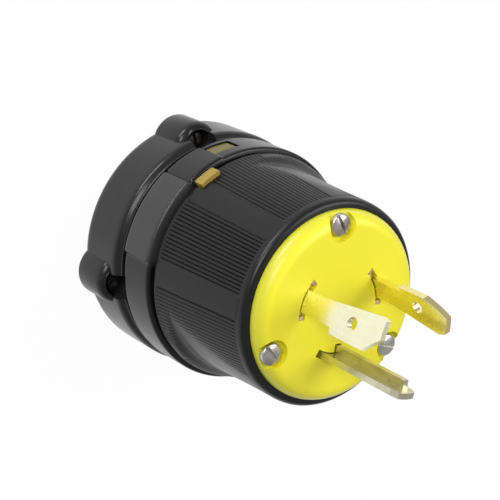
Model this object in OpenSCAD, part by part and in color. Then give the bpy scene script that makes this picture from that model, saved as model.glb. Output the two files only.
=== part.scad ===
// Locking power plug: three curved blades on a moulded nose, ribbed round body,
// collar and four-boss clamp ring at the cord end.
// Millimetres. +Z is the plug's axis, from the cord end (z = 0) to the blade tips.

/* [Node] */
// Which sub-part to build

/* [Nose] */
// Radius of the moulded nose
nose_r = 26; // [24:0.5:28]
// Height of the body's front rim above the cord end
rim_z = 68; // [64:0.5:72]
// How far the nose's flat face stands ahead of the rim
nose_rise = 4; // [3:0.25:5]

/* [Blades] */
// Outer radius of the curved blades
blade_r = 13.5; // [12:0.1:15]
// Thickness of a blade
blade_t = 1.56; // [1.2:0.02:2]
// Length of blade x and the ground blade ahead of the flat face
blade_len = 29.8; // [24:0.2:32]
// How much shorter blade y is
blade_y_less = 2.6; // [0:0.2:5]
// Radius of the hole through each hooked blade
blade_hole_r = 1.7; // [1:0.1:2.5]

/* [Body] */
// Outer radius of the body just behind the rim
body_front_r = 29.2; // [28:0.1:30]
// Outer radius of the body at its rear end
body_rear_r = 32.1; // [30:0.1:33]
// Number of ribs in each ribbed panel
ribs = 16; // [8:1:20]
// Depth of the grooves between ribs
rib_depth = 0.45; // [0.2:0.05:0.6]
// Distance from the axis to the middle of a thumb flat
flat_r = 29.9; // [29:0.1:31]

/* [Collar and clamp ring] */
// Outer radius of the collar
collar_r = 33.4; // [32:0.1:34]
// Outer radius of the clamp ring
ring_r = 33.7; // [32:0.1:35]
// Distance from the axis to the outside of a boss
boss_top = 37.2; // [35:0.1:39]
// Radius of a boss
boss_r = 7.6; // [6:0.1:9]
// Direction of the first boss, in degrees
boss_a = 7; // [0:1:45]

/* [Cord entry] */
// Radius of the grommet's opening for the cord
cord_r = 9.3; // [7:0.1:11]

/* [Hidden] */
$fn = 96;
eps = 0.02;
face_z = rim_z + nose_rise;
tip_z = face_z + blade_len;
ring_top = 17.6;
collar_z0 = 19.8;
collar_z1 = 31.7;
shell_z0 = 32.8;
spigot_z = 28;
spigot_r = 30;
carrier_r = 26.1;
floor_z = 53;
lip_z0 = 58;
lip_z1 = 60;
screw_r = 22.6;
screw_a = [89, 199, 319];
blade_a = [155.5, 17, 253];
blade_mid = blade_r - blade_t / 2;
clamp_screw_c = 32.6;
head_seat = 9.6;
tail_z = 47;
BLACK = [0.06, 0.06, 0.065];
YELLOW = [0.95, 0.9, 0.12];
BRASS = [0.83, 0.66, 0.3];
STEEL = [0.62, 0.61, 0.58];

// A tube sector: inner and outer radius, from angle a to angle b
module sector(ri, ro, z0, z1, a, b) {
  rotate([0, 0, a])
    rotate_extrude(angle = b - a)
      translate([ri, z0])
        square([ro - ri, z1 - z0]);
}

module tube(ri, ro, z0, z1) {
  rotate_extrude()
    translate([ri, z0])
      square([ro - ri, z1 - z0]);
}

module at(r, a, z) {
  rotate([0, 0, a])
    translate([r, 0, z])
      children();
}

// Blade stock: a curved plate cut to an outline drawn as [degrees, z] pairs
module blade_stock(centre, outline) {
  pts = [for (p = outline) [-blade_mid * sin(p[0]), p[1]]];
  intersection() {
    sector(blade_r - blade_t, blade_r, 34, tip_z + 5, centre - 40, centre + 40);
    rotate([0, 0, centre])
      translate([4, 0, 0])
        rotate([90, 0, 90])
          mirror([1, 0, 0])
            linear_extrude(20)
              polygon(pts);
  }
}

// Hooked blade: narrow neck, square hook on one side, sloped flare on the other
module hooked_blade(a, less) {
  tip = tip_z - less;
  outline = [
    [-8, 43], [8, 43], [8, 50], [22.6, 50], [22.6, face_z - 1.4], [14.2, face_z - 1.4],
    [14.2, face_z + 11.6], [22.4, face_z + 11.6], [22.4, tip - 6.2], [1.5, tip],
    [-19.8, tip - 0.9], [-22.6, tip - 3.2], [-13.2, face_z + 6.4], [-13.2, face_z - 1.4],
    [-22.6, face_z - 1.4], [-22.6, 50], [-8, 50]];
  difference() {
    blade_stock(a, outline);
    at(0, a - 0.8, tip - 10.8)
      rotate([0, 90, 0])
        cylinder(r = blade_hole_r, h = 20);
    at(0, a, tail_z)
      rotate([0, 90, 0])
        cylinder(r = 1.75, h = 20);
  }
}

module blade_x() { color(BRASS) hooked_blade(blade_a[0], 0); }

module blade_y() { color(BRASS) hooked_blade(blade_a[1], blade_y_less); }

// Ground blade: the same curved plate with a short flange turned in along one edge
module ground_blade() {
  a = blade_a[2];
  outline = [
    [-8, 43], [8, 43], [8, 50], [17, 50], [17, tip_z - 2.2], [14, tip_z - 0.4],
    [-10, tip_z - 0.4], [-14, tip_z - 2.6], [-14, face_z - 1.4], [-17, face_z - 1.4],
    [-17, 50], [-8, 50]];
  color(STEEL)
  difference() {
    union() {
      blade_stock(a, outline);
      at(0, a + 9.3, 0)
        translate([9.7, 0, 50.6])
          cube([2.8, 1.5, tip_z - 3.4 - 50.6]);
    }
    at(0, a, tail_z)
      rotate([0, 90, 0])
        cylinder(r = 1.75, h = 20);
  }
}

// Slots through nose and carrier, cut with clearance round each blade's root
module blade_slots(z0, z1) {
  for (a = [blade_a[0], blade_a[1]])
    sector(blade_r - blade_t - 0.25, blade_r + 0.25, z0, z1, a - 24.8, a + 24.8);
  sector(blade_r - blade_t - 0.25, blade_r + 0.25, z0, z1, blade_a[2] - 18.9, blade_a[2] + 18.9);
  at(9.4, blade_a[2] + 9.3, z0)
    translate([0, -0.3, 0])
      cube([3, 2.1, z1 - z0]);
}

module nose() {
  r = nose_rise;
  color(YELLOW)
  difference() {
    rotate_extrude()
      union() {
        translate([0, lip_z1])
          square([nose_r, rim_z - lip_z1]);
        translate([0, rim_z - eps])
          square([nose_r - r, r + eps]);
        intersection() {
          translate([nose_r - r, rim_z])
            circle(r);
          translate([nose_r - r - eps, rim_z - eps])
            square(r + 1);
        }
      }
    blade_slots(lip_z1 - 1, face_z + 1);
    for (a = screw_a) {
      at(screw_r, a, face_z - 2.2)
        cylinder(r = 4.2, h = 5);
      at(screw_r, a, lip_z1 - 1)
        cylinder(r = 1.8, h = 14);
    }
    translate([0, 0, lip_z1 - 1])
      cylinder(r = 8, h = 5);
  }
}

module inner_carrier() {
  color(YELLOW)
  difference() {
    union() {
      tube(23.9, carrier_r, 21.4, lip_z0);
      tube(23.9, 29.8, 21.4, spigot_z - 0.2);
      translate([0, 0, floor_z])
        cylinder(r = carrier_r, h = lip_z0 - floor_z);
      sector(25, 29.8, 27, 35.4, 112, 123);
      sector(27, 33, 32, 35.4, 112, 123);
      translate([0, 0, 46])
        cylinder(r = 6, h = 8);
    }
    blade_slots(floor_z - 1, lip_z0 + 1);
    for (a = screw_a)
      at(screw_r, a, floor_z - 1)
        cylinder(r = 1.65, h = 6);
    translate([0, 0, 45])
      cylinder(r = 3, h = 12);
  }
}

// V-grooves along the ribbed panels, following the body's taper.
// Where a thumb flat is cut, they run out into it.
module rib_grooves() {
  tilt = atan((body_rear_r - body_front_r) / (rim_z - 2.4 - shell_z0));
  pitch = 32 / ribs;
  for (k = [0 : 7])
    for (i = [0 : ribs - 1]) {
      a = 132.5 + 45 * k + (i + 0.5) * pitch;
      side = abs((a + 38) % 180 - 90);
      rotate([0, 0, a])
        translate([body_front_r + 0.1, 0, rim_z - 4.4])
          rotate([0, 180 - tilt, 0])
            linear_extrude(side < 44 ? 20.5 : 29.2)
              rotate(45)
                square(rib_depth * 1.414, center = true);
    }
}

// What a thumb flat leaves: an off-centre drum that is wide at the body's rear
module flat_limit(a) {
  e = 40 - flat_r;
  at(-e, a, 0)
    rotate_extrude()
      polygon([[0, 20], [46, 20], [46, shell_z0 + 4.5], [40, shell_z0 + 10],
        [39, rim_z - 2], [39, rim_z + 5], [0, rim_z + 5]]);
}

module body_shell() {
  e = 2.4;
  rim = [for (t = [0 : 7.5 : 90]) [body_front_r - e + e * cos(t), rim_z - e + e * sin(t)]];
  color(BLACK)
  difference() {
    intersection() {
      difference() {
        rotate_extrude()
          polygon(concat([[26.3, spigot_z], [spigot_r, spigot_z], [spigot_r, shell_z0],
            [body_rear_r, shell_z0]], rim, [[26.1, rim_z], [26.1, lip_z1], [25, lip_z1],
            [25, lip_z0], [26.3, lip_z0]]));
        rib_grooves();
      }
      flat_limit(52);
      flat_limit(232);
    }
    for (a = [0, 180])
      sector(28.2, 36, collar_z1, shell_z0 + 0.4, a + 91, a + 167);
    sector(20, 36, spigot_z - 1, 35.7, 111.5, 123.7);
  }
}

module collar() {
  color(BLACK)
  difference() {
    union() {
      rotate_extrude()
        polygon([[27, collar_z0], [collar_r - 0.6, collar_z0], [collar_r, collar_z0 + 0.6],
          [collar_r, collar_z1 - 0.6], [collar_r - 0.6, collar_z1], [spigot_r + 0.1, collar_z1],
          [spigot_r + 0.1, 21.2], [27, 21.2]]);
      for (a = [0, 180])
        sector(31, collar_r + 0.7, collar_z0 + 0.5, collar_z1 - 0.4, a + 125, a + 167);
      for (a = [0, 180])
        sector(31, collar_r + 0.35, collar_z0 + 0.5, collar_z1 - 0.4, a + 104.5, a + 124);
    }
    for (a = [0, 180])
      sector(28, 36, 21.8, 27.6, a + 90, a + 104);
  }
}

module clamp_ring() {
  color(BLACK)
  difference() {
    union() {
      rotate_extrude()
        polygon([[11.5, 0.8], [13, 0], [ring_r - 1.6, 0], [ring_r - 0.5, 0.5], [ring_r, 1.8],
          [ring_r, 14], [ring_r - 0.5, 15.8], [ring_r - 1.5, ring_top], [27, ring_top],
          [27, 4], [11.5, 4]]);
      for (k = [0 : 3])
        at(boss_top - boss_r, boss_a + 90 * k, 0)
          rotate_extrude()
            polygon([[0, 0.2], [boss_r - 1, 0.2], [boss_r, 1.4], [boss_r, 11], [boss_r - 0.4, 12.4],
              [boss_r - 1.6, 13.2], [0, 13.2]]);
    }
    translate([0, 0, 4])
      cylinder(r = 27, h = 20);
    for (k = [0 : 3])
      at(clamp_screw_c, boss_a + 90 * k, 0) {
        translate([0, 0, head_seat])
          cylinder(r = 3.5, h = 12);
        translate([0, 0, -1])
          cylinder(r = 1.9, h = 14);
        translate([-3.1, -3.1, -1])
          cube([6.2, 6.2, 4.1]);
      }
  }
}

module terminal_clamp(k) {
  color(BRASS)
  at(0, blade_a[k], tail_z)
    difference() {
      translate([14.4, -4.5, -4])
        cube([1.2, 9, 8]);
      rotate([0, 90, 0])
        cylinder(r = 1.75, h = 30);
    }
}

module terminal_clamp_1() { terminal_clamp(0); }

module terminal_clamp_2() { terminal_clamp(1); }

module terminal_clamp_3() { terminal_clamp(2); }

// Slotted screw along +Z: its head sits on z = 0 and its shank hangs below
module slotted_screw(head_r, head_h, shank_r, shank) {
  difference() {
    union() {
      cylinder(r = head_r, h = head_h * 0.55);
      translate([0, 0, head_h * 0.55 - eps])
        cylinder(r1 = head_r, r2 = head_r * 0.72, h = head_h * 0.45 + eps);
      translate([0, 0, -shank])
        cylinder(r = shank_r, h = shank + eps);
    }
    translate([-head_r - 1, -0.4, head_h * 0.5])
      cube([2 * head_r + 2, 0.8, head_h]);
  }
}

module terminal_screw(k) {
  color(STEEL)
  at(15.6, blade_a[k], tail_z)
    rotate([0, 90, 0])
      slotted_screw(3.4, 2.2, 1.7, 5.4);
}

module terminal_screw_1() { terminal_screw(0); }

module terminal_screw_2() { terminal_screw(1); }

module terminal_screw_3() { terminal_screw(2); }

module face_screw(k, turn) {
  color(STEEL)
  at(screw_r, screw_a[k], face_z - 2.2)
    rotate([0, 0, turn])
      slotted_screw(3.05, 1.9, 1.6, 16);
}

module face_screw_1() { face_screw(0, 35); }

module face_screw_2() { face_screw(1, 20); }

module face_screw_3() { face_screw(2, 70); }

module clamp_screw(k) {
  color(STEEL)
  at(clamp_screw_c, boss_a + 90 * k, head_seat)
    rotate([0, 0, 40 * k])
      slotted_screw(3.2, 2, 1.5, 9.2);
}

module clamp_screw_1() { clamp_screw(0); }

module clamp_screw_2() { clamp_screw(1); }

module clamp_screw_3() { clamp_screw(2); }

module clamp_screw_4() { clamp_screw(3); }

module clamp_nut(k) {
  color(STEEL)
  at(clamp_screw_c, boss_a + 90 * k, 0.5)
    difference() {
      translate([-3, -3, 0])
        cube([6, 6, 2.5]);
      translate([0, 0, -1])
        cylinder(r = 1.55, h = 5);
    }
}

module clamp_nut_1() { clamp_nut(0); }

module clamp_nut_2() { clamp_nut(1); }

module clamp_nut_3() { clamp_nut(2); }

module clamp_nut_4() { clamp_nut(3); }

// Cord jaw: half a ring with a toothed bite and a foot on the ring's rear wall
module cord_jaw(a) {
  color(BLACK)
  difference() {
    union() {
      sector(10.4, 15, 4, 13, a + 4, a + 176);
      sector(10.4, 26.6, 4, 6.4, a + 4, a + 176);
    }
    for (z = [6, 8.6, 11.2])
      sector(9.5, 11.1, z, z + 1.2, a, a + 180);
  }
}

module cord_jaw_1() { cord_jaw(boss_a); }

module cord_jaw_2() { cord_jaw(boss_a + 180); }

module cord_grommet() {
  color(BLACK)
  rotate_extrude()
    polygon([[cord_r, 0.4], [cord_r + 0.8, 0.2], [11.2, 0.9], [11.4, 1.4], [11.4, 3.8],
      [cord_r, 3.8]]);
}

module dust_seal() {
  color(BLACK)
  tube(27.4, 31, ring_top, collar_z0);
}

nose();
inner_carrier();
body_shell();
collar();
clamp_ring();
blade_x();
blade_y();
ground_blade();
terminal_clamp_1();
terminal_clamp_2();
terminal_clamp_3();
terminal_screw_1();
terminal_screw_2();
terminal_screw_3();
face_screw_1();
face_screw_2();
face_screw_3();
clamp_screw_1();
clamp_screw_2();
clamp_screw_3();
clamp_screw_4();
clamp_nut_1();
clamp_nut_2();
clamp_nut_3();
clamp_nut_4();
cord_jaw_1();
cord_jaw_2();
cord_grommet();
dust_seal();
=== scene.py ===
"""Locking power plug: the dressed model on its CAD frame. Metres, +Z from the cord end to the blades."""
import math

import bpy
import numpy as np
from mathutils import Matrix, Vector


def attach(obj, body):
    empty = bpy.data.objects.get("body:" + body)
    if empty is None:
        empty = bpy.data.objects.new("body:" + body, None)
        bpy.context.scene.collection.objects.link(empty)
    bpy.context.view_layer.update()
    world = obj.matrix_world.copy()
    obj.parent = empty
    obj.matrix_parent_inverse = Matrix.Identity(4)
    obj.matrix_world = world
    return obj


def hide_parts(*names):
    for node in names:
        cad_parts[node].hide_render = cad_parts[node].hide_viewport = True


MM = 0.001
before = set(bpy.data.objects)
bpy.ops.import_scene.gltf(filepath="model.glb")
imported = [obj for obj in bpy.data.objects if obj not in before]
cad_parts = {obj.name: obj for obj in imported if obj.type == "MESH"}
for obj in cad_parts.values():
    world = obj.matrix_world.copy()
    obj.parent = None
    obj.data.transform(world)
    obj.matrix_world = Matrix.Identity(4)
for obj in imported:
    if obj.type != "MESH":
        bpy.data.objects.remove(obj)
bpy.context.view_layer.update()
scene = bpy.context.scene
scene.view_settings.view_transform = "Standard"

# ---------------------------------------------------------------- camera
VIEW_AZ, VIEW_EL = -36.1, 20.46       # direction from the nose to the eye, in the plug's own angles
EYE_SHIFT = (0.809, -0.548, 14.98)    # right, up, back, in nose radii
NOSE_R, RIM_Z, FACE_Z = 26.0, 68.0, 72.0


def look_from(az, el, shift):
    """Places the camera: back = (cos el sin az, sin el, cos el cos az), right = (cos az, 0, -sin az)."""
    a, e = math.radians(az), math.radians(el)
    back = Vector((math.cos(e) * math.sin(a), math.sin(e), math.cos(e) * math.cos(a)))
    right = Vector((math.cos(a), 0, -math.sin(a)))
    up = back.cross(right)
    eye = (right * -shift[0] + up * -shift[1] + back * shift[2]) * NOSE_R + Vector((0, 0, RIM_Z))
    m = Matrix((right, up, back)).transposed().to_4x4()
    m.translation = eye * MM
    return m


cam = bpy.data.objects.new("camera", bpy.data.cameras.new("camera"))
scene.collection.objects.link(cam)
cam.matrix_world = look_from(VIEW_AZ, VIEW_EL, EYE_SHIFT)
cam.data.lens = 108
cam.data.sensor_width = 36
cam.data.clip_start = 0.01
scene.camera = cam


# ---------------------------------------------------------------- material helper
class S:
    """A node socket with arithmetic: a + b, 1 - a and so on make Math nodes."""

    def __init__(self, mat, sock):
        self.m, self.s = mat, sock

    def _math(self, operation, *terms):
        n = self.m.nodes.new("ShaderNodeMath")
        n.operation = operation
        for i, v in enumerate(terms):
            self.m.put(n.inputs[i], v)
        return S(self.m, n.outputs[0])

    def __add__(self, o):
        return self._math("ADD", self, o)

    def __sub__(self, o):
        return self._math("SUBTRACT", self, o)

    def __rsub__(self, o):
        return self._math("SUBTRACT", o, self)

    def __mul__(self, o):
        return self._math("MULTIPLY", self, o)

    def __truediv__(self, o):
        return self._math("DIVIDE", self, o)

    def __rtruediv__(self, o):
        return self._math("DIVIDE", o, self)

    def __pow__(self, o):
        return self._math("POWER", self, o)

    __radd__ = __add__
    __rmul__ = __mul__

    def clamp(self):
        """Held between 0 and 1."""
        low = self._math("MINIMUM", self, 1.0)
        return self._math("MAXIMUM", low, 0.0)

    def step(self, lo, hi):
        """A straight ramp from 0 at lo to 1 at hi."""
        return ((self - lo) * (1.0 / (hi - lo))).clamp()


class Mat:
    """A procedural material: one Principled shader fed by generated patterns."""

    def __init__(self, name, **consts):
        self.mat = bpy.data.materials.new(name)
        self.mat.use_nodes = True
        self.nodes, self.links = self.mat.node_tree.nodes, self.mat.node_tree.links
        self.shader = next(n for n in self.nodes if n.type == "BSDF_PRINCIPLED")
        self.obj = S(self, self.add("ShaderNodeTexCoord").outputs["Object"])
        for k, v in consts.items():
            self.shader.inputs[k.replace("_", " ")].default_value = v

    def add(self, kind, **props):
        n = self.nodes.new(kind)
        for k, v in props.items():
            setattr(n, k, v)
        return n

    def put(self, sock, v):
        if isinstance(v, S):
            self.links.new(v.s, sock)
        elif isinstance(v, tuple) and len(v) == 3 and len(sock.default_value) == 4:
            sock.default_value = v + (1.0,)
        else:
            sock.default_value = v

    def node(self, kind, out=0, ins=None, **props):
        n = self.add(kind, **props)
        for k, v in (ins or {}).items():
            self.put(n.inputs[k], v)
        return S(self, n.outputs[out])

    def axis(self, name):
        return self.node("ShaderNodeSeparateXYZ", "XYZ".index(name), {"Vector": self.obj})

    def noise(self, scale, detail=3.0, rough=0.55, stretch=(1, 1, 1)):
        at = self.node("ShaderNodeMapping", ins={"Vector": self.obj, "Scale": stretch})
        return self.node("ShaderNodeTexNoise", ins={"Vector": at, "Scale": scale, "Detail": detail,
                                                    "Roughness": rough})

    def mix(self, f, a, b):
        n = self.add("ShaderNodeMix", data_type="RGBA")
        self.put(n.inputs[0], f)
        self.put(n.inputs[6], a)
        self.put(n.inputs[7], b)
        return S(self, n.outputs[2])

    def bump(self, h, dist, strength=1.0):
        return self.node("ShaderNodeBump", ins={"Height": h, "Distance": dist, "Strength": strength})

    def out(self, **socks):
        for k, v in socks.items():
            self.put(self.shader.inputs[k.replace("_", " ")], v)
        return self.mat


def black_plastic(name, tone, rough, grain=0.00001, ior=1.4, painted_highlight_at=None):
    """Moulded black nylon: fine grain, faint cloudiness and dusty patches; with an angle given, also a much
    lighter band within about 20 degrees of it, which is a painted highlight.
    """
    m = Mat(name, IOR=ior)
    cloud = m.noise(60, 4)
    fine = m.noise(2600, 3)
    dust = m.noise(240, 5, 0.7).step(0.52, 0.8)
    dark = tuple(t * 0.8 for t in tone)
    col = m.mix(cloud, dark, tuple(t * 1.2 for t in tone))
    col = m.mix(dust * 0.35, col, tuple(t * 2.2 for t in tone))
    if painted_highlight_at is not None:
        # painted highlight: a much lighter band round the given angle, standing in for the sheen on the
        # collar's grip pad
        x, y, a = m.axis("X"), m.axis("Y"), math.radians(painted_highlight_at)
        along = (x * math.cos(a) + y * math.sin(a)) / ((x * x + y * y) ** 0.5)
        col = m.mix(along.step(0.92, 0.945) * (cloud * 0.4 + 0.6), col, (0.045, 0.046, 0.045))
    return m.out(Base_Color=col, Roughness=cloud * 0.1 + (rough - 0.05) + dust * 0.08,
                 Normal=m.bump(fine, grain, 0.5))


def yellow_plastic(name, tone, rough=0.33, edge=0):
    """Moulded yellow nylon, slightly translucent looking, with soft cloudiness; with edge given, the part
    from nine tenths of that radius outward is painted darker and greener, which is painted shade on the
    nose's rounded rim.
    """
    m = Mat(name, IOR=1.48)
    cloud = m.noise(45, 4)
    fine = m.noise(1800, 2)
    col = m.mix(cloud, tuple(t * 0.94 for t in tone), tone)
    if edge:
        x, y = m.axis("X"), m.axis("Y")
        # painted shade: the outer tenth of the radius is darkened and greened, standing in for the shading
        # on the nose's rounded rim
        out = ((x * x + y * y) ** 0.5).step(edge * 0.9 * MM, edge * MM)
        col = m.mix(out * 0.75, col, (tone[0] * 0.55, tone[1] * 0.6, tone[2]))
    return m.out(Base_Color=col, Roughness=cloud * 0.12 + (rough - 0.06), Normal=m.bump(fine, 0.00001, 0.35))


def metal(name, tone, worn, rough, grain_dir=(1, 1, 0.06), grain=900):
    """Stamped metal: drawn grain along one direction, blotches of tarnish, small pits."""
    m = Mat(name, Metallic=1.0)
    draw = m.noise(grain, 3, 0.6, grain_dir)
    blot = m.noise(160, 4, 0.6)
    pits = m.noise(1500, 2).step(0.62, 0.75)
    col = m.mix(blot.step(0.42, 0.7), tone, worn)
    col = m.mix(draw * 0.25, col, tuple(t * 0.75 for t in tone))
    return m.out(Base_Color=col, Roughness=draw * 0.14 + blot * 0.12 + (rough - 0.13) + pits * 0.1,
                 Normal=m.bump(draw + pits * -0.6, 0.00001, 0.25))


BODY_BLACK = black_plastic("body_black", (0.006, 0.0061, 0.006), 0.32)
# painted light: the ring's tone, about twice the body's, stands in for the brighter sheen on the ring and
# its bosses
RING_BLACK = black_plastic("ring_black", (0.012, 0.0122, 0.0123), 0.24)
# the lighter band at 146 degrees is a painted highlight on one grip pad
COLLAR_BLACK = black_plastic("collar_black", (0.005, 0.005, 0.0051), 0.26, painted_highlight_at=146.0)
DARK_INSIDE = black_plastic("inside_black", (0.005, 0.005, 0.005), 0.7, ior=1.2)
RUBBER = black_plastic("rubber_black", (0.003, 0.003, 0.003), 0.8, 0.00004, 1.15)
# edge=26 paints shade on the nose's rounded rim
NOSE_YELLOW = yellow_plastic("nose_yellow", (0.95, 0.87, 0.035), edge=26)
INNER_YELLOW = yellow_plastic("inner_yellow", (0.36, 0.25, 0.045), 0.5)
WINDOW_YELLOW = yellow_plastic("window_yellow", (0.16, 0.13, 0.03), 0.45)
BRASS = metal("brass", (0.98, 0.88, 0.46), (0.92, 0.78, 0.33), 0.26)
COPPERY = metal("copper_foot", (0.86, 0.62, 0.38), (0.6, 0.42, 0.25), 0.4)
# painted highlight: a whiter copy of brass for blade_x, standing in for the bright reflection along that
# blade
PAINTED_HIGHLIGHT_BRASS = metal("brass_painted_highlight", (1.0, 0.97, 0.72), (0.98, 0.92, 0.6), 0.24)
GROUND = metal("ground_metal", (0.74, 0.71, 0.55), (0.52, 0.49, 0.33), 0.34)
STEEL = metal("steel", (0.72, 0.69, 0.64), (0.3, 0.26, 0.22), 0.28, (1, 1, 1), 500)
SHADED_STEEL = metal("shaded_steel", (0.16, 0.15, 0.145), (0.08, 0.075, 0.07), 0.45, (1, 1, 1), 500)


# ---------------------------------------------------------------- surfaces
def smooth(x, a, b):
    """0 below a, 1 above b, with a cubic in between (a may be above b)."""
    t = np.clip((x - a) / (b - a), 0, 1)
    return t * t * (3 - 2 * t)


def turn(a, c):
    """Signed angle from c to a, in degrees, -180 to 180."""
    return (a - c + 180.0) % 360.0 - 180.0


def make_mesh(name, verts, faces, mat, nodes=(), auto=35):
    """A mesh object in metres from numpy points in millimetres and an array of quads."""
    me = bpy.data.meshes.new(name)
    me.vertices.add(len(verts))
    me.vertices.foreach_set("co", np.ascontiguousarray(verts * MM, dtype=np.float32).ravel())
    f = np.ascontiguousarray(faces, dtype=np.int32)
    me.loops.add(f.size)
    me.loops.foreach_set("vertex_index", f.ravel())
    me.polygons.add(len(f))
    me.polygons.foreach_set("loop_start", np.arange(0, f.size, 4, dtype=np.int32))
    me.update(calc_edges=True)
    me.validate()
    me.polygons.foreach_set("use_smooth", np.ones(len(me.polygons), dtype=bool))
    me.set_sharp_from_angle(angle=math.radians(auto))
    me.materials.append(mat)
    ob = bpy.data.objects.new(name, me)
    scene.collection.objects.link(ob)
    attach(ob, "root")
    if nodes:
        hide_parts(*nodes)
    return ob


def wall(name, th, z, ro, ri, mat, nodes=(), holes=None):
    """A wall round the axis, closed on itself.

    th: angles in degrees; z: a height for each row; ro, ri: radii, rows by angles.
    Outer point (i, j) = ro[j, i] (cos th_i, sin th_i), at z_j; the inner one the same with ri.
    holes[j, i] true leaves that cell out, and its edges get walls of their own.
    """
    n, m = len(th), len(z)
    t = np.radians(th)
    zz = np.repeat(z[:, None], n, 1)

    def pts(r):
        return np.stack([r * np.cos(t), r * np.sin(t), zz], -1).reshape(-1, 3)

    verts = np.concatenate([pts(ro), pts(ri)])
    on = np.ones((m - 1, n), bool) if holes is None else ~holes
    j, i = np.nonzero(on)
    k = (i + 1) % n
    a, b, c, d = j * n + i, j * n + k, (j + 1) * n + k, (j + 1) * n + i
    q = n * m
    out = [np.stack([a, b, c, d], 1), np.stack([a, d, c, b], 1) + q]
    pad = np.zeros((m + 1, n), bool)
    pad[1:-1] = on
    for dj, di, e0, e1 in ((-1, 0, a, b), (1, 0, c, d), (0, 1, b, c), (0, -1, d, a)):
        off = ~pad[j + 1 + dj, (i + di) % n]
        out.append(np.stack([e0, e0 + q, e1 + q, e1], 1)[off])
    return make_mesh(name, verts, np.concatenate(out), mat, nodes)


def lathe(name, prof, mat, centre, n):
    """A closed profile of [r, z] pairs turned about a vertical line through centre, in n steps.

    Point (j, i) = centre + r_j (cos t_i, sin t_i), at z_j.
    """
    p = np.asarray(prof, float)
    t = np.linspace(0, 2 * np.pi, n, endpoint=False)
    r = np.repeat(p[:, 0][:, None], n, 1)
    zz = np.repeat(p[:, 1][:, None], n, 1)
    v = np.stack([centre[0] + r * np.cos(t), centre[1] + r * np.sin(t), zz], -1).reshape(-1, 3)
    j, i = np.meshgrid(np.arange(len(p)), np.arange(n), indexing="ij")
    j2, i2 = (j + 1) % len(p), (i + 1) % n
    f = np.stack([j * n + i, j * n + i2, j2 * n + i2, j2 * n + i], -1).reshape(-1, 4)
    return make_mesh(name, v, f, mat)


# ---------------------------------------------------------------- body shell
FLATS, SLOT_A, SLOT_B = (52.0, 232.0), 91.0, 167.0
SHELL_Z0, SHELL_Z1 = 32.8, RIM_Z - 2.0        # rear edge; where the front rim starts to roll over
FRONT_R, TAPER = 28.5, 3.6                    # radius behind the rim; growth down to the rear edge
PANEL_A, PANEL_STEP, PANEL_SPAN = 132.5, 45.0, 32.0
RIB_SAMPLE, STRIP_SAMPLE = 0.4, 1.0           # degrees between samples on ribs and on smooth strips
RIB_DEPTH, STRIP_RISE = 0.32, 0.1
DRUM_OFFSET, DRUM_R = 10.1, 39.3              # the off-centre drum that makes a thumb flat
SPIGOT_Z, SPIGOT_R, SPIGOT_BEVEL = 28.0, 30.0, 0.3
SLOT_Z, SLOT_R = 31.7, 28.2
BORE_R, MOUTH_R, MOUTH_Z, LIP_R = 26.3, 26.1, 58.0, 26.25
RIM_ROLL, RIM_RISE = 1.6, 1.95
NOTCH_A, NOTCH_HALF, NOTCH_TOP = 117.6, 6.2, 35.75


def panel_angles():
    """Angles round the body: five samples a rib in the panels, a few across each flat strip."""
    out = []
    for k in range(8):
        start = PANEL_A + PANEL_STEP * k
        out.append(start + np.arange(80) * RIB_SAMPLE)
        out.append(start + PANEL_SPAN + np.arange(13) * STRIP_SAMPLE)
    return np.sort(np.concatenate(out) % 360)


def soft_min(a, b, k):
    """The smaller of two radii, blended where they are within k of each other."""
    h = np.clip(0.5 + 0.5 * (b - a) / k, 0, 1)
    return b + (a - b) * h - k * h * (1 - h)


def body_radius(th, z):
    """r = soft_min(cone - ribs, thumb flats).

    Grooves: (0.5 + 0.5 cos(pi a))^4 of their depth, a in degrees from the panel's start: one each
    2 degrees.
    Thumb flat: -e cos(phi) + sqrt(R^2 - e^2 sin^2(phi)), R growing towards the rear shoulder.
    """
    base = FRONT_R + (SHELL_Z1 - z) / (SHELL_Z1 - SHELL_Z0) * TAPER
    inside = (th - PANEL_A) % PANEL_STEP
    ribbed = inside < PANEL_SPAN
    groove = (0.5 + 0.5 * np.cos(np.pi * inside)) ** 4
    ends = smooth(z, RIM_Z - 2.2, RIM_Z - 3.2) * smooth(z, SHELL_Z0 + 0.2, SHELL_Z0 + 1.4)
    r = base - np.where(ribbed, groove, 0.0) * RIB_DEPTH * ends
    r = r + np.where(ribbed, 0.0, STRIP_RISE) * ends
    wide = DRUM_R - 0.8 * smooth(z, 38, 64) + 3.2 * smooth(z, SHELL_Z0 + 6.0, SHELL_Z0 + 0.8)
    for c in FLATS:
        phi = np.radians(turn(th, c))
        lim = -DRUM_OFFSET * np.cos(phi) + np.sqrt(wide ** 2 - (DRUM_OFFSET * np.sin(phi)) ** 2)
        r = np.where(np.abs(phi) < 1.5, soft_min(r, lim, 0.35), r)
    return r


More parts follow.
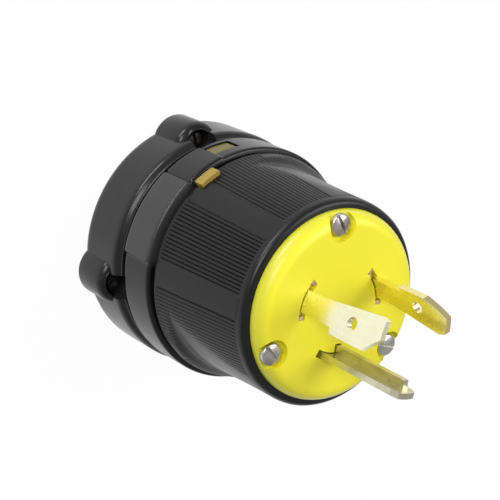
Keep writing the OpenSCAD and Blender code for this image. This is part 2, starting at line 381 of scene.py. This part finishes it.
def build_shell():
    """The body: spigot, rear slots and tongue notch, then body_radius, then a rim on an elliptic arc."""
    th = panel_angles()
    z_out = np.concatenate([SHELL_Z0 + np.array([0, 0.06, 0.2, 0.5, 0.8, 1.1, 1.5]),
                            np.linspace(34.8, 44.0, 16), np.linspace(46.0, 63.6, 9),
                            RIM_Z - np.array([3.4, 3.2, 3.0, 2.75, 2.5, 2.25])])
    arc = np.radians(np.linspace(0, 90, 10))
    rows = [(SPIGOT_Z, SPIGOT_R - SPIGOT_BEVEL), (SPIGOT_Z + SPIGOT_BEVEL, SPIGOT_R), (SLOT_Z, SPIGOT_R),
            (SLOT_Z, SPIGOT_R), (SHELL_Z0, SPIGOT_R)]
    z = [r[0] for r in rows]
    ro = [np.full(len(th), r[1]) for r in rows]
    deep = ((th - SLOT_A) % 180.0) < SLOT_B - SLOT_A
    for j in (3, 4):
        ro[j] = np.where(deep, SLOT_R, SPIGOT_R)
    for h in z_out:
        z.append(h)
        ro.append(body_radius(th, h) - 0.3 * smooth(h, SHELL_Z0 + 0.25, SHELL_Z0))
    for a in arc:
        z.append(SHELL_Z1 + RIM_RISE * math.sin(a))
        ro.append(body_radius(th, SHELL_Z1) - RIM_ROLL * (1 - math.cos(a)))
    z.append(RIM_Z)
    ro.append(np.full(len(th), LIP_R))
    z, ro = np.array(z), np.array(ro)
    ri = np.where(z < MOUTH_Z, BORE_R, MOUTH_R)[:, None] * np.ones(len(th))
    holes = np.zeros((len(z) - 1, len(th)), bool)
    holes[z[1:] <= NOTCH_TOP] = np.abs(turn(th, NOTCH_A)) < NOTCH_HALF
    return wall("shell_skin", th, z, ro, ri, BODY_BLACK, ("body_shell",), holes)


# ---------------------------------------------------------------- collar
COLLAR_Z0, COLLAR_Z1, COLLAR_R = 19.8, 31.7, 33.4
COLLAR_ROLL = 0.9
PAD_A, PAD_HALF, PAD_RISE = 146, 21.4, 0.75
TAB_A, TAB_HALF, TAB_RISE = 114.3, 10.2, 0.38
WINDOW_A, WINDOW_SPAN = 90.0, 14.0


def build_collar():
    """Collar radius = round band + raised pads and tabs, its edges rolled by circular arcs."""
    th = np.arange(0, 360, 0.5)
    z = np.array([0, 0.04, 0.15, 0.35, 0.6, 0.9, 1.4, 2.0, 2.4, 4, 6, 7.8, 9.0, 10, 10.8, 11.2, 11.5,
                  11.7, 11.83, 11.9]) + COLLAR_Z0
    low = 1 - np.clip((z - COLLAR_Z0) / COLLAR_ROLL, 0, 1)
    top = 1 - np.clip((COLLAR_Z1 - z) / COLLAR_ROLL, 0, 1)
    edge = COLLAR_ROLL * (2 - np.sqrt(1 - low ** 2 * 0.98) - np.sqrt(1 - top ** 2 * 0.98))
    lift = np.zeros(len(th))
    for o in (0, 180):
        lift = lift + PAD_RISE * smooth(np.abs(turn(th, PAD_A + o)), PAD_HALF, PAD_HALF - 1.2)
        lift = lift + TAB_RISE * smooth(np.abs(turn(th, TAB_A + o)), TAB_HALF, TAB_HALF - 1.0)
    ro = COLLAR_R + lift[None, :] - edge[:, None]
    ri = np.where(z < 21.3, 27.0, 30.1)[:, None] * np.ones(len(th))
    holes = np.zeros((len(z) - 1, len(th)), bool)
    in_rows = (z[:-1] >= COLLAR_Z0 + 1.9) & (z[1:] <= COLLAR_Z0 + 7.9)
    holes[in_rows] = ((th - WINDOW_A) % 180.0) < WINDOW_SPAN
    return wall("collar_skin", th, z, ro, ri, COLLAR_BLACK, ("collar",), holes)


# ---------------------------------------------------------------- clamp ring and bosses
BOSSES = [7.0 + 90 * k for k in range(4)]
RING_R, RING_TOP = 34.1, 17.6
BOSS_C, BOSS_R, BOSS_Z, SCREW_C, SEAT = 29.6, 7.58, 13.2, 32.6, 9.6


def ring_radius(th, z):
    """Ring outline at a height: rolled edges, with a scallop of radius 3.5 ahead of each boss."""
    r = RING_R - 1.6 * smooth(z, RING_TOP - 2.6, RING_TOP) ** 1.5 - 1.3 * smooth(z, 1.9, 0.0) ** 2
    out = np.full(th.shape, r)
    if z > SEAT:
        for b in BOSSES:
            s = SCREW_C * np.sin(np.radians(turn(th, b)))
            near = (np.abs(turn(th, b)) < 40) & (np.abs(s) < 3.5)
            cut = SCREW_C - np.sqrt(np.clip(3.5 ** 2 - s ** 2, 0, None))
            out = np.where(near, np.minimum(out, cut), out)
    return out


def build_ring():
    """The clamp ring: ring_radius outside, a floor with the cord's opening, and a straight bore above it."""
    th = np.sort(np.concatenate([np.arange(0, 360, 1.0)] + [b + np.arange(-9, 9, 0.3) + 0.13
                                                           for b in BOSSES]) % 360)
    z = np.array([0.0, 0.15, 0.5, 1.0, 1.9, 3.0, 4.0, 6.5, SEAT, SEAT + 0.01, 11, 12.5, 14, 15.0, 15.7,
                  16.3, 16.8, 17.2, 17.45, RING_TOP])
    ro = np.array([ring_radius(th, h) for h in z])
    ri = np.where(z < 4.01, 11.5, 27.0)[:, None] * np.ones(len(th))
    ri[0] = 12.4
    return wall("ring_skin", th, z, ro, ri, RING_BLACK, ("clamp_ring",))


def build_boss(k):
    """A round boss with an off-centre well for its screw; both ends are rolled over."""
    arc = np.radians(np.linspace(0, 90, 7))
    foot = [(BOSS_R - 1.6 + 1.6 * math.sin(a), 1.8 - 1.6 * math.cos(a)) for a in arc]
    head = [(BOSS_R - 2.6 + 2.6 * math.cos(a), BOSS_Z - 2.6 + 2.6 * math.sin(a)) for a in arc]
    well = [(3.9, BOSS_Z), (3.6, BOSS_Z - 0.2), (3.5, BOSS_Z - 0.6), (3.5, SEAT), (0.02, SEAT),
            (0.02, 0.2)]
    a = math.radians(BOSSES[k])
    c = np.array([math.cos(a), math.sin(a)])
    ob = lathe("boss_%d" % (k + 1), foot + head + well, RING_BLACK, BOSS_C * c, 72)
    co = np.empty(len(ob.data.vertices) * 3, np.float32)
    ob.data.vertices.foreach_get("co", co)
    co = co.reshape(-1, 3)
    d = np.hypot(co[:, 0] - BOSS_C * c[0] * MM, co[:, 1] - BOSS_C * c[1] * MM)
    inner = (d < 4.2 * MM) & (co[:, 2] > (SEAT - 0.5) * MM)
    co[inner, :2] += (SCREW_C - BOSS_C) * MM * c
    ob.data.vertices.foreach_set("co", co.ravel())
    ob.data.update()
    return ob


# ---------------------------------------------------------------- small parts
def foot_disc(name, r, a, z, rad):
    """A small domed coppery disc that fills one end of a blade slot."""
    t = math.radians(a)
    prof = [(0.01, z - 1.5), (rad, z - 1.5), (rad, z - 0.2), (rad * 0.9, z - 0.05), (rad * 0.6, z),
            (0.01, z)]
    return lathe(name, prof, COPPERY, (r * math.cos(t), r * math.sin(t)), 24)


def pan_head(name, centre, z, r, h, turn_deg, node, mat=STEEL, slot_w=0.8, depth=0.9):
    """A slotted pan head: a square grid drawn onto a disc, with a flat-bottomed slot across it.

    Height: h (0.55 + 0.45 sqrt(1 - d^2)), d being 0 at the middle and 1 at the rim.
    """
    n = 97
    u = np.linspace(-1, 1, n)
    x, y = np.meshgrid(u, u, indexing="ij")
    dx = x * np.sqrt(np.clip(1 - y * y / 2, 0, 1)) * r
    dy = y * np.sqrt(np.clip(1 - x * x / 2, 0, 1)) * r
    d = np.hypot(dx, dy) / r
    top = h * (0.55 + 0.45 * np.sqrt(np.clip(1 - d ** 2, 0, 1)))
    cut = np.abs(dx) < slot_w / 2
    top = np.where(cut, np.minimum(top, h - depth), top)
    a = math.radians(turn_deg)
    px = centre[0] + dx * math.cos(a) - dy * math.sin(a)
    py = centre[1] + dx * math.sin(a) + dy * math.cos(a)
    up = np.stack([px, py, z + top], -1).reshape(-1, 3)
    low = np.stack([px, py, np.full_like(px, z)], -1).reshape(-1, 3)
    i, j = np.meshgrid(np.arange(n - 1), np.arange(n - 1), indexing="ij")
    a0, a1, a2, a3 = i * n + j, (i + 1) * n + j, (i + 1) * n + j + 1, i * n + j + 1
    f = np.stack([a0, a1, a2, a3], -1).reshape(-1, 4)
    q = n * n
    rim = np.concatenate([np.arange(n) * n, (n - 1) * n + np.arange(n), (np.arange(n) * n + n - 1)[::-1],
                          np.arange(n)[::-1]])
    nxt = np.roll(rim, -1)
    side = np.stack([rim, rim + q, nxt + q, nxt], 1)[rim != nxt]
    faces = np.concatenate([f, f[:, ::-1] + q, side])
    return make_mesh(name, np.concatenate([up, low]), faces, mat, (node,), 30)


def window_pad(name, start):
    """A curved block that fills a collar window: a square profile carried along an arc, with end caps.

    Point (i, k) = r_k (cos t_i, sin t_i), at z_k.
    """
    t = np.radians(np.linspace(start + 0.6, start + WINDOW_SPAN - 0.6, 13))
    r, z = np.array([29.85, 32.9, 32.9, 29.85]), np.array([22.0, 22.0, 27.4, 27.4])
    verts = np.stack([np.outer(np.cos(t), r), np.outer(np.sin(t), r), np.tile(z, (len(t), 1))], -1)
    i, k = np.meshgrid(np.arange(len(t) - 1), np.arange(4), indexing="ij")
    k2 = (k + 1) % 4
    sides = np.stack([4 * i + k, 4 * i + 4 + k, 4 * i + 4 + k2, 4 * i + k2], -1).reshape(-1, 4)
    caps = np.array([[0, 1, 2, 3], [3, 2, 1, 0]]) + [[0], [4 * (len(t) - 1)]]
    faces = np.concatenate([sides, caps])
    return make_mesh(name, verts.reshape(-1, 3), faces, WINDOW_YELLOW)


def on_circle(r, a):
    """The point at radius r and angle a, in degrees."""
    t = math.radians(a)
    return r * math.cos(t), r * math.sin(t)


FACE_SCREW_R, FACE_SCREWS = 22.6, ((89, 20), (199, 35), (319, 70))     # (place, turn of the slot)
SLOT_MID_R, SLOT_HALF, HOOKED_BLADES = 12.72, 23.6, (155.5, 17)


def build_fixings():
    """Face screws, clamp screws and the coppery feet in the slot ends."""
    for k, (place, spin) in enumerate(FACE_SCREWS):
        pan_head("face_head_%d" % (k + 1), on_circle(FACE_SCREW_R, place), FACE_Z - 2.2, 3.05, 1.9, spin,
                 "face_screw_%d" % (k + 1))
    for k, place in enumerate(BOSSES):
        pan_head("clamp_head_%d" % (k + 1), on_circle(SCREW_C, place), SEAT, 3.2, 2.0,
                 place + 55 + 40 * k, "clamp_screw_%d" % (k + 1), SHADED_STEEL)
    for k, place in enumerate(HOOKED_BLADES):
        for offset, side in ((-SLOT_HALF, "a"), (SLOT_HALF, "b")):
            foot_disc("slot_foot_%d%s" % (k + 1, side), SLOT_MID_R, place + offset, FACE_Z - 0.25, 1.0)


build_shell()
for k in range(2):
    window_pad("window_pad_%d" % (k + 1), WINDOW_A + 180 * k)
build_collar()
build_ring()
for k in range(4):
    build_boss(k)
build_fixings()

# ---------------------------------------------------------------- finish of the CAD nodes
DRESS = {"nose": NOSE_YELLOW, "inner_carrier": INNER_YELLOW, "blade_x": PAINTED_HIGHLIGHT_BRASS, "blade_y": BRASS,
         "ground_blade": GROUND, "cord_grommet": RUBBER, "dust_seal": RUBBER,
         "cord_jaw_1": DARK_INSIDE, "cord_jaw_2": DARK_INSIDE,
         "terminal_clamp_1": BRASS, "terminal_clamp_2": BRASS, "terminal_clamp_3": BRASS}
EDGES = {"nose": 0.25, "blade_x": 0.22, "blade_y": 0.22, "ground_blade": 0.2}

for name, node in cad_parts.items():
    node.data.materials.clear()
    node.data.materials.append(DRESS.get(name, STEEL))
for name, width in EDGES.items():
    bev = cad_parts[name].modifiers.new("edge", "BEVEL")
    bev.width = width * MM
    bev.segments = 2
    bev.limit_method = "ANGLE"
    bev.angle_limit = math.radians(50)
    bev.harden_normals = False


# ---------------------------------------------------------------- floor and light
def white_floor():
    """A pale floor that the eye and mirrors see as white, with a trace of the contact shadow."""
    m = Mat("floor_white", Roughness=0.9)
    m.put(m.shader.inputs["Base Color"], m.mix(m.noise(8, 2), (0.86, 0.86, 0.86), (0.9, 0.9, 0.9)))
    glow = m.add("ShaderNodeEmission")
    path = m.add("ShaderNodeLightPath")
    seen = (S(m, path.outputs["Is Camera Ray"]) + S(m, path.outputs["Is Glossy Ray"])).clamp() * 0.97
    mixer = m.add("ShaderNodeMixShader")
    m.put(mixer.inputs[0], seen)
    m.links.new(m.shader.outputs[0], mixer.inputs[1])
    m.links.new(glow.outputs[0], mixer.inputs[2])
    out = next(n for n in m.nodes if n.type == "OUTPUT_MATERIAL")
    m.links.new(mixer.outputs[0], out.inputs[0])
    me = bpy.data.meshes.new("floor")
    h = 4.0
    me.from_pydata([(-h, -h, 0), (h, -h, 0), (h, h, 0), (-h, h, 0)], [], [(0, 1, 2, 3)])
    me.materials.append(m.mat)
    ob = bpy.data.objects.new("floor", me)
    scene.collection.objects.link(ob)


white_floor()
world = bpy.data.worlds.new("world")
scene.world = world
world.use_nodes = True
world.node_tree.nodes["Background"].inputs[0].default_value = (1, 1, 1, 1)
world.node_tree.nodes["Background"].inputs[1].default_value = 0.4


def softbox(name, where, size, power):
    """A square area lamp at where (metres), turned to the plug's middle."""
    lamp = bpy.data.lights.new(name, "AREA")
    lamp.size = size
    lamp.energy = power
    ob = bpy.data.objects.new(name, lamp)
    ob.location = where
    ob.rotation_euler = (Vector((0, 0, 0.045)) - Vector(where)).to_track_quat("-Z", "Y").to_euler()
    scene.collection.objects.link(ob)


view = cam.matrix_world.to_3x3()
RIGHT, UP, BACK = view.col[0], view.col[1], view.col[2]
softbox("key", BACK * 0.35 + UP * 0.55 - RIGHT * 0.35 + Vector((0, 0, 0.05)), 0.4, 5.5)
softbox("side", BACK * 0.3 + RIGHT * 0.6 + UP * 0.1, 0.4, 2)
softbox("left", BACK * 0.25 - RIGHT * 0.6 + UP * 0.3, 0.3, 4.0)
softbox("front", BACK * 0.8 + UP * 0.15 - RIGHT * 0.1, 0.3, 2.2)
